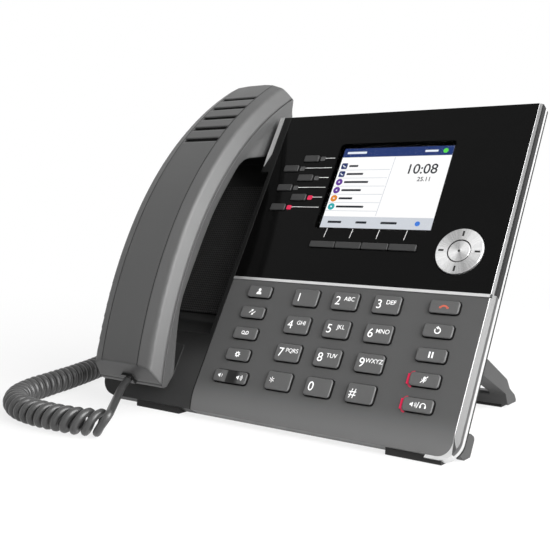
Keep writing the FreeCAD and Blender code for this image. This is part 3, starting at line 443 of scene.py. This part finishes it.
def cord_jacket(name):
    """Vinyl jacket of the curly cord: satin, with slow tone drift and fine draw lines."""
    finish = Finish(name, Specular_IOR_Level=0.5)
    drift = finish.noise(140.0, detail=3.0)
    finish.set(Base_Color=finish.mix(grey(0.024), grey(0.04), drift), Roughness=0.3 + 0.14 * drift)
    return finish.bump(finish.noise(1800.0), 0.00003)


def clear_plastic(name):
    """Smoky clear plastic of the plugs."""
    finish = Finish(name, Specular_IOR_Level=0.4, Transmission_Weight=0.4, IOR=1.46)
    haze = finish.noise(240.0, detail=4.0)
    return finish.set(Base_Color=finish.mix(grey(0.01), grey(0.03), haze), Roughness=0.12 + 0.2 * haze)


def window_glass(name):
    """Clear window, with faint wipe marks in its gloss."""
    finish = Finish(name, Base_Color=grey(1.0), Transmission_Weight=1.0, IOR=1.05, Specular_IOR_Level=0.1)
    return finish.set(Roughness=0.01 + 0.02 * finish.noise(12.0, (1, 4, 4), 5.0))


def turned_steel(name, tone):
    """Bright steel with fine marks in its tone and gloss."""
    finish = Finish(name, Metallic=1.0)
    scuffs = finish.noise(1200.0, detail=4.0)
    return finish.set(
        Base_Color=finish.mix(grey(tone * 0.75), grey(tone), scuffs),
        Roughness=0.25 + 0.2 * scuffs,
    )


def dress(finish, *names):
    """The finish on CAD nodes."""
    for name in names:
        nodes[name].data.materials.clear()
        nodes[name].data.materials.append(finish.material)


# Flat marks: lists of (points, faces) on the face, in millimetres

def band(path, width):
    """Ribbon: each point of a path is set off half the width to either side along the mean normal of
    its two runs, longer where they turn, and the offsets are joined by quads."""
    path = np.asarray(path, float)
    run = np.diff(path, axis=0)
    run /= np.linalg.norm(run, axis=1)[:, None]
    ahead = np.vstack([run, run[-1:]])
    mean = ahead + np.vstack([run[:1], run])
    mean /= np.linalg.norm(mean, axis=1)[:, None]
    normal = np.column_stack([-mean[:, 1], mean[:, 0]])
    reach = width / 2 / np.sum(mean * ahead, axis=1)[:, None]
    count = len(path)
    first = np.arange(count - 1)
    faces = np.column_stack([first + count, first + count + 1, first + 1, first])
    return np.vstack([path + normal * reach, path - normal * reach]), faces


def ring(middle, inner, outer, start=0.0, turn=360.0, count=36):
    """Ring sector: radius from inner to outer, angle from start over a turn, in degrees; outer may
    vary by angle."""
    angle = np.radians(start + np.linspace(0.0, turn, count + 1))
    way = np.column_stack([np.cos(angle), np.sin(angle)])
    points = np.vstack([way * inner, way * np.broadcast_to(outer, count + 1)[:, None]]) + middle
    first = np.arange(count)
    faces = np.column_stack([first, first + count + 1, first + count + 2, first + 1])
    return points, faces


def outline(corners):
    """One face with these corners, given anticlockwise."""
    return np.asarray(corners, float), np.arange(len(corners))[None]


def oblong(middle, size, radius=0.0):
    """Rectangle about its middle with rounded corners: four quarter circles joined into one face."""
    quarter = np.linspace(0, 90, 5 if radius else 1)
    angle = np.radians(quarter + np.array([[0], [90], [180], [270]]))
    half = np.array(size) / 2 - radius
    corner = np.array([[1, 1], [-1, 1], [-1, -1], [1, -1]])[:, None] * half
    turn = np.stack([np.cos(angle), np.sin(angle)], -1) * radius
    return outline((corner + turn).reshape(-1, 2) + middle)


def letters(text, height, middle, bold=0.0):
    """Letters of the built-in type made a mesh, scaled to a height of capitals and centred on a point."""
    curve = bpy.data.curves.new("letters", "FONT")
    curve.body = text
    curve.offset = bold
    holder = bpy.data.objects.new("letters", curve)
    mesh = bpy.data.meshes.new_from_object(holder)
    points = mesh_points(mesh)[:, :2]
    faces = [list(face.vertices) for face in mesh.polygons]
    centre = [(points[:, 0].min() + points[:, 0].max()) / 2, CAPITAL / 2]
    points = (points - centre) * (height / CAPITAL)
    bpy.data.objects.remove(holder)
    bpy.data.curves.remove(curve)
    bpy.data.meshes.remove(mesh)
    return points + middle, faces


def piece(name, points, faces, finish, body):
    """New piece from points of the row frame, carried by a body."""
    mesh = bpy.data.meshes.new(name)
    mesh.from_pydata(points.tolist(), [], faces)
    mesh.materials.append(finish.material)
    thing = bpy.data.objects.new(name, mesh)
    bpy.context.scene.collection.objects.link(thing)
    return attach(thing, body)


def marks(name, shapes, level, finish, body, thick=0.04):
    """Flat shapes joined into one piece at a level of the face, made a thin layer downwards."""
    points, faces, start = [], [], 0
    for shape_points, shape_faces in shapes:
        points.append(np.column_stack([shape_points, np.full(len(shape_points), level)]))
        faces += [[int(index) + start for index in face] for face in shape_faces]
        start += len(shape_points)
    thing = piece(name, on_face(np.vstack(points)), faces, finish, body)
    layer = thing.modifiers.new("layer", "SOLIDIFY")
    layer.thickness = thick * MM
    layer.offset = -1.0
    return thing


def shifted(shapes, step):
    """Shapes moved by a step."""
    return [(points + np.asarray(step, float), faces) for points, faces in shapes]


# Camera

def set_camera():
    """Camera at the photograph's place, 60 mm lens, level."""
    camera = bpy.data.objects.new("camera", bpy.data.cameras.new("camera"))
    camera.data.lens = LENS
    camera.data.sensor_width = 36.0
    camera.data.clip_start = 0.01
    camera.location = CAMERA_PLACE
    camera.rotation_euler = Vector(CAMERA_WAY).to_track_quat("-Z", "Y").to_euler()
    bpy.context.scene.collection.objects.link(camera)
    bpy.context.scene.camera = camera


# Curly cord: the coil's middle line on the desk, its tails, and its ends at the plugs, as in the
# part's source, but with shorter leads, and with the tail meeting the curls FIRST_POINT points later

WIRE = 4.4
COIL_RADIUS = 5.1
COIL_LEAN = 2.8
COIL_START = 0.45
COIL_HEIGHT = 7.5
TURNS = 35.5
POINTS_A_TURN = 16
FIRST_POINT = 3
PITCH_LOOSE, PITCH_TIGHT, PITCH_FADE = 6.8, 5.5, 60.0
COIL_LINE = [
    (-53.0, -54.6), (-64.5, -60.2), (-78.0, -62.2), (-93.5, -62.6), (-109.0, -61.6),
    (-125.0, -56.5), (-138.5, -45.5), (-147.5, -30.0), (-152.5, -11.0), (-157.5, 9.0),
    (-164.5, 31.0), (-172.5, 52.0), (-177.5, 66.0),
]
HANDSET_END = np.array([-82.0, -11.96, 19.48])
HANDSET_WAY = np.array([0.0, -0.8002, -0.5997])
BASE_TAIL = [(-140.0, 81.0, 8.5), (-121.0, 89.0, 4.2), (-100.0, 93.5, 2.3), (-77.0, 87.0, 2.4)]
BASE_END = np.array([-58.0, 48.2, 14.37])
BASE_WAY = np.array([0.0, 0.8572, -0.5150])
PLUG_LEAD, CURL_LEAD, BASE_LEAD = 6.0, 7.0, 20.0
LINE_STEPS, CORD_STEPS = 40, 3


def cord_line(name, points, resolution, thick=0.0):
    """Mesh of a smooth line of order 3 with these control points: bare, or as a round tube."""
    curve = bpy.data.curves.new(name, "CURVE")
    curve.dimensions = "3D"
    curve.resolution_u = resolution
    curve.bevel_depth = thick / 2
    curve.bevel_resolution = 3
    curve.use_fill_caps = True
    spline = curve.splines.new("NURBS")
    spline.points.add(len(points) - 1)
    spline.points.foreach_set("co", np.column_stack([points, np.ones(len(points))]).ravel())
    spline.order_u = 3
    spline.use_endpoint_u = True
    holder = bpy.data.objects.new(name, curve)
    mesh = bpy.data.meshes.new_from_object(holder)
    bpy.data.objects.remove(holder)
    bpy.data.curves.remove(curve)
    return mesh


def curl_points():
    """Helix about the coil's middle line: at each point, across times the radius times the sine of the
    turn, plus along times a fading lean less upwards times the radius, both times its cosine. The
    turns come with the run, spread out at the front."""
    flat = np.array(COIL_LINE)
    line = np.column_stack([flat, np.full(len(flat), COIL_HEIGHT)])
    middle = mesh_points(cord_line("coil_line", line, LINE_STEPS))
    step = np.linalg.norm(np.diff(middle, axis=0), axis=1)
    run = np.concatenate([[0.0], np.cumsum(step)])
    ratio = PITCH_LOOSE / PITCH_TIGHT - 1
    slack = np.log((1 + ratio * np.exp(-run / PITCH_FADE)) / (1 + ratio))
    turns = (run + PITCH_FADE * slack) / PITCH_TIGHT
    turns *= TURNS / turns[-1]
    wanted = np.arange(FIRST_POINT, int(TURNS * POINTS_A_TURN) + 1) / POINTS_A_TURN
    place = np.interp(wanted, turns, run)
    centre = np.column_stack([np.interp(place, run, middle[:, axis]) for axis in range(3)])
    along = np.gradient(middle, run, axis=0)
    along = np.column_stack([np.interp(place, run, along[:, axis]) for axis in range(3)])
    across = np.column_stack([along[:, 1], -along[:, 0], np.zeros(len(along))])
    across /= np.linalg.norm(across, axis=1)[:, None]
    slant = along * (COIL_LEAN * np.exp(-place / PITCH_FADE))[:, None]
    angle = 2 * math.pi * (wanted[:, None] - COIL_START)
    hang = slant - COIL_RADIUS * np.array([0.0, 0.0, 1.0])
    loop = np.sin(angle) * across * COIL_RADIUS + np.cos(angle) * hang
    return centre + loop / math.cos(math.pi / POINTS_A_TURN)


def curly_cord(finish):
    """One unbroken wire from the handset's plug through the curls to the plug in the base."""
    curls = curl_points()
    first_way = (curls[1] - curls[0]) / np.linalg.norm(curls[1] - curls[0])
    last_way = (curls[-1] - curls[-2]) / np.linalg.norm(curls[-1] - curls[-2])
    out = HANDSET_END + HANDSET_WAY * PLUG_LEAD
    meet = curls[0] - first_way * CURL_LEAD
    tail = (meet - out) / np.linalg.norm(meet - out)
    route = np.vstack([
        HANDSET_END, out, out + tail * 2 * PLUG_LEAD, meet - tail * CURL_LEAD, meet,
        curls,
        curls[-1] + last_way * BASE_LEAD, BASE_TAIL, BASE_END + BASE_WAY * BASE_LEAD, BASE_END,
    ])
    route = on_desk(route)
    path = mesh_points(cord_line("cord_path", route, CORD_STEPS))
    mesh = cord_line("curly_cord", route, CORD_STEPS, WIRE * MM)
    mesh.shade_smooth()
    mesh.materials.clear()
    mesh.materials.append(finish.material)
    cord = bpy.data.objects.new("curly_cord", mesh)
    bpy.context.scene.collection.objects.link(cord)
    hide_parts("handset_cord")
    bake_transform(cord)


# Legends

def speaker_sign(waves):
    """Loudspeaker: a box with its cone, and rings of sound."""
    shapes = [outline([(-1.5, -0.5), (-0.9, -0.5), (0.0, -1.2), (0.0, 1.2), (-0.9, 0.5), (-1.5, 0.5)])]
    inner = [0.5 + 0.6 * wave for wave in range(1, waves + 1)]
    return shapes + [ring((0.0, 0.0), radius, radius + 0.25, -42, 84) for radius in inner]


def arrow(start, end, width, head):
    """Straight arrow: a ribbon and a three-cornered head."""
    start, end = np.array(start, float), np.array(end, float)
    way = (end - start) / np.linalg.norm(end - start)
    side = np.array([-way[1], way[0]])
    neck = end - way * head
    return [band([start, neck], width), outline([neck - side * head * 0.7, end, neck + side * head * 0.7])]


def key_signs():
    """Sign of each key that carries one, about the key's middle."""
    gear_angle = np.radians(np.linspace(0, 360, 97))
    gear = 1.5 + 0.28 * np.tanh(4 * np.cos(8 * gear_angle))
    return {
        "contacts_key": [ring((0, 1.0), 0, 0.95), ring((0, -1.7), 0, 1.8, 0, 180)],
        "call_list_key": [
            *arrow((-2.0, -0.5), (0.4, 1.7), 0.5, 1.2),
            *arrow((2.0, 0.5), (-0.4, -1.7), 0.5, 1.2),
        ],
        "voicemail_key": [
            ring((-1.4, 0.2), 0.65, 1.1),
            ring((1.4, 0.2), 0.65, 1.1),
            band([(-1.4, -0.7), (1.4, -0.7)], 0.45),
        ],
        "settings_key": [ring((0, 0), 0.65, gear, count=96)],
        "redial_key": [ring((0, 0), 1.2, 1.75, 150, 290)] + arrow((0.6, 1.5), (-1.2, 1.5), 0.4, 1.3),
        "hold_key": [oblong((-0.85, 0), (0.8, 3.2)), oblong((0.85, 0), (0.8, 3.2))],
        "mute_key": [
            oblong((0, 0.5), (1.1, 2.1), 0.5),
            ring((0, 0.3), 1.0, 1.3, 180, 180),
            band([(0, -0.9), (0, -1.7)], 0.35),
            band([(-1.7, -1.7), (1.7, 1.7)], 0.4),
        ],
        "speaker_key": [
            *shifted(speaker_sign(2), (-2.4, 0)),
            band([(-0.2, -1.6), (0.7, 1.6)], 0.35),
            ring((3.0, -0.2), 1.15, 1.5, 0, 180),
            oblong((1.7, -0.7), (0.8, 1.3), 0.3),
            oblong((4.3, -0.7), (0.8, 1.3), 0.3),
        ],
        "volume_rocker": shifted(speaker_sign(1), (-6.7, 0)) + shifted(speaker_sign(3), (6.2, 0)),
    }


DIAL = {
    "key_1": ("1", ""), "key_2": ("2", "ABC"), "key_3": ("3", "DEF"),
    "key_4": ("4", "GHI"), "key_5": ("5", "JKL"), "key_6": ("6", "MNO"),
    "key_7": ("7", "PQRS"), "key_8": ("8", "TUV"), "key_9": ("9", "WXYZ"),
    "key_star": ("*", ""), "key_0": ("0", ""), "key_hash": ("#", ""),
}


def print_keys(white, red):
    """Digits, letters and signs on the keys' tops."""
    level = KEY_RISE + PRINT_RISE
    for key, (digit, caption) in DIAL.items():
        middle = face_middle(key)[:2]
        place = STAR_PLACE if digit == "*" else DIGIT_PLACE
        shapes = [letters(digit, DIGIT, middle + place)]
        if caption:
            shapes.append(letters(caption, CAPTION, middle + CAPTION_PLACE, 0.003))
        marks(f"{key}_print", shapes, level, white, key)
    for key, shapes in key_signs().items():
        marks(f"{key}_print", shifted(shapes, face_middle(key)[:2]), level, white, key)
    receiver = [ring((0, -1.9), 1.9, 2.8, 40, 100)]
    receiver += [oblong((side * 2.0, -0.5), (1.2, 0.9), 0.2) for side in (-1, 1)]
    middle = face_middle("end_call_key")[:2]
    marks("end_call_key_print", shifted(receiver, middle), level, red, "end_call_key")


def light_strips():
    """Glow round the two lit strips: a bracket about the left end of each key."""
    finish = Finish("strip_glow", Base_Color=(0.2, 0.004, 0.02, 1), Roughness=0.4, Emission_Strength=0.3)
    haze = finish.noise(300.0)
    finish.set(Emission_Color=finish.mix((0.6, 0.01, 0.06, 1), (0.9, 0.02, 0.12, 1), haze))
    half = [(1.4, 4.0), (0.2, 3.6), (-0.7, 2.4)]
    bracket = np.array(half + [(x, -v) for x, v in reversed(half)])
    for key in ("mute_key", "speaker_key"):
        left_end = face_middle(key)[:2] - (SIDE_WIDTH / 2, 0.0)
        marks(f"{key}_glow", [band(left_end + bracket, 0.9)], 0.03, finish, "base")


def print_fascia(white):
    """Thin lines from the line keys to the screen, and four markers above the soft keys."""
    shapes, width = [], 0.25
    first, middle, length, stagger = 161.9, -9.2, 7.4, 12.0
    for row in range(6):
        level, longer = first - LINE_PITCH * row, stagger * (row % 2)
        shapes.append(oblong((middle - longer / 2, level), (length + longer, width)))
    marker = np.array([(-0.9, 109.4), (-0.3, 115.2)])
    for key in range(4):
        across = SOFT_MIDDLE + (key - 1.5) * SOFT_WIDTH
        shapes.append(band(marker + (across, 0.0), width))
    marks("fascia_lines", shapes, PRINT_RISE, white, "base")


def light_screen():
    """Picture of the screen in flat lit layers: header, clock, a list with icons and the soft key bar."""
    width, height = SCREEN_SIZE
    header, footer, pitch, list_width, icon = 6.0, 7.2, 5.4, 34.0, 3.2
    head, foot = height - header / 2, footer / 2
    rows = [40.6 - pitch * row for row in range(6)]
    page, panel, ink, top = SCREEN_LEVEL + np.array([0.05, 0.09, 0.13, 0.17])

    def layer(name, shapes, level, colour):
        finish = screen_light(name, colour)
        marks(name, shifted(shapes, SCREEN), level, finish, "base", 0.02)

    layer("screen_page", [oblong((width / 2, height / 2), SCREEN_SIZE)], page, (1.0, 1.0, 1.0))
    layer("screen_header", [oblong((width / 2, head), (width, header))], panel, (0.012, 0.035, 0.16))
    layer("screen_footer", [oblong((width / 2, foot), (width, footer))], panel, (0.62, 0.65, 0.7))
    rules = [oblong((list_width / 2, level - pitch / 2), (list_width, 0.25)) for level in rows]
    rules.append(band([(34.2, 8.0), (35.4, 46.0)], 0.3))
    layer("screen_rules", rules, panel, (0.5, 0.54, 0.6))
    entries = zip(rows, (6, 11, 16, 13, 9, 18))
    words = [oblong((6.5 + length / 2, level), (length, 1.3), 0.3) for level, length in entries]
    words += [oblong((8.8 + 17.5 * key, foot), (length, 1.4), 0.3) for key, length in enumerate((9, 7, 10))]
    words.append(letters("10:08", CLOCK, (55.0, 38.0), 0.008))
    words.append(letters("25.11", DATE, (57.0, 31.4), 0.012))
    layer("screen_ink", words, ink, (0.012, 0.014, 0.02))
    squares = [oblong((icon, level), (4.0, 4.0), 0.7) for level in rows[:2]]
    layer("screen_icons_navy", squares, ink, (0.015, 0.03, 0.13))
    discs = [ring((icon, level), 0, 2.2) for level in rows]
    layer("screen_icons_violet", discs[2:4], ink, (0.12, 0.03, 0.3))
    layer("screen_icon_amber", discs[4:5], ink, (0.75, 0.25, 0.02))
    layer("screen_icon_teal", discs[5:], ink, (0.02, 0.4, 0.42))
    layer("screen_icon_blue", [ring((61.3, foot), 0, 1.5)], ink, (0.05, 0.2, 0.7))
    layer("screen_icon_green", [ring((width - 4.5, head), 0, 1.5)], ink, (0.1, 0.7, 0.08))
    pale = [oblong((9.0, head), (13.0, 1.5), 0.3), oblong((width - 13.0, head), (8.0, 1.3), 0.3)]
    pale += [ring((icon, level), 0, 0.55) for level in rows[2:]]
    flick = np.array([(2.2, 0.6), (3.2, -0.4), (4.2, -0.6)])
    pale += [band(flick + (0.0, level), 0.6) for level in rows[:2]]
    layer("screen_pale", pale, top, (0.8, 0.85, 0.92))


def mark_nav_disc(ink):
    """Four ticks near the disc's rim, and the dot on its middle button."""
    ticks = []
    for way in ((1, 0), (0, 1), (-1, 0), (0, -1)):
        way = np.array(way, float)
        ticks.append(band([NAV_MIDDLE + way * 8.5, NAV_MIDDLE + way * 11.4], 1.1))
    level = LINE_RISE + PRINT_RISE
    marks("nav_ring_print", ticks, level, ink, "nav_ring")
    marks("select_button_print", [ring(NAV_MIDDLE, 0, 0.7)], level, ink, "select_button")


def set_stage():
    """Pale floor that takes a soft shadow near the phone and is white farther off, white backdrop, two
    soft lamps."""
    finish = Finish("floor", Base_Color=grey(0.85), Roughness=0.9)
    white = finish.add("ShaderNodeEmission", {}, {"Color": (1, 1, 1, 1), "Strength": 1.0})
    reach = finish.add("ShaderNodeVectorMath", {"operation": "LENGTH"}, {0: finish.point()}, "Value")
    share = (0.8 + 0.2 * finish.ramp(reach, 0.15, 0.7)) * finish.backdrop_seen()
    lit = Link(finish, finish.shader.outputs[0])
    mixed = finish.add("ShaderNodeMixShader", {}, {0: share, 1: lit, 2: white})
    finish.fill(finish.tree.nodes["Material Output"], {"Surface": mixed})
    half, level = 6.0, -0.0002
    corners = [(-half, -half, level), (half, -half, level), (half, half, level), (-half, half, level)]
    mesh = bpy.data.meshes.new("floor")
    mesh.from_pydata(corners, [], [(0, 1, 2, 3)])
    mesh.materials.append(finish.material)
    floor = bpy.data.objects.new("floor", mesh)
    bpy.context.scene.collection.objects.link(floor)

    world = bpy.data.worlds.new("studio")
    bpy.context.scene.world = world
    studio = Nodes(world)
    strength = AMBIENT + (1.0 - AMBIENT) * studio.backdrop_seen()
    studio.fill(studio.tree.nodes["Background"], {"Color": (1, 1, 1, 1), "Strength": strength})

    for name, place, size, power in LAMPS:
        light = bpy.data.lights.new(name, "AREA")
        light.size = size
        light.energy = power
        lamp = bpy.data.objects.new(name, light)
        lamp.location = place
        lamp.rotation_euler = (Vector((0, 0, 0.08)) - Vector(place)).to_track_quat("-Z", "Y").to_euler()
        bpy.context.scene.collection.objects.link(lamp)


# The phone

set_camera()
curly_cord(cord_jacket("cord_vinyl"))

keys = key_plastic("key_grey", 0.08, KEY_RISE)
dark_keys = key_plastic("key_dark", 0.025, LINE_RISE)
dress(panel_plastic("shell_grey"), "front_housing")
# painted shade: the rear housing and stand, the panel's grey plastic, toned darker so they stay dark under
# the side lamp
dress(moulded("back_grey", 0.028), "rear_housing", "stand_frame")
dress(handset_plastic("handset_grey"), "handset_outer_shell", "handset_inner_shell")
dress(cradle_plastic("cradle_grey"), "cradle_housing")
side_keys = [
    "contacts_key", "call_list_key", "voicemail_key", "settings_key",
    "end_call_key", "redial_key", "hold_key", "mute_key", "speaker_key",
]
dress(rocker_plastic("rocker_grey", face_middle("volume_rocker")[0]), "volume_rocker")
dress(keys, *DIAL, *side_keys)
dress(dark_keys, *[f"line_key_{row}" for row in range(1, 7)])
dress(dark_keys, *[f"soft_key_{key}" for key in range(1, 5)])
dress(gloss_black("fascia_black"), "display_fascia")
dress(brushed_silver("silver_band"), "silver_trim")
dress(spun_silver("spun_silver"), "nav_ring", "select_button")
dress(window_glass("window_clear"), "display_window")
dress(gloss_black("panel_black"), "lcd_module")
dress(lamp_red("lens_red"), "lamp_lenses")
dress(woven_mesh("mesh_black"), "speaker_grille")
dress(soft_rubber("rubber_black", 0.012), "front_feet", "stand_pads")
dress(soft_rubber("mat_grey", 0.2), "key_mat")
dress(
    moulded("part_black", 0.012, grain=0.5),
    "modular_jacks", "hook_switch", "nav_gimbal", "loudspeaker", "handset_receiver", "handset_microphone",
)
dress(turned_steel("screw_steel", 0.5), "housing_screws")
dress(clear_plastic("plug_clear"), "handset_plug", "base_plug")
dress(printed("board_green", (0.01, 0.09, 0.03)), "main_board")

white_ink = printed("legend_white", (0.95, 0.95, 0.95))
print_keys(white_ink, printed("legend_red", (0.5, 0.11, 0.07)))
print_fascia(white_ink)
light_strips()
mark_nav_disc(printed("legend_black", (0.01, 0.01, 0.01)))
light_screen()
set_stage()
bpy.context.scene.view_settings.view_transform = "Standard"
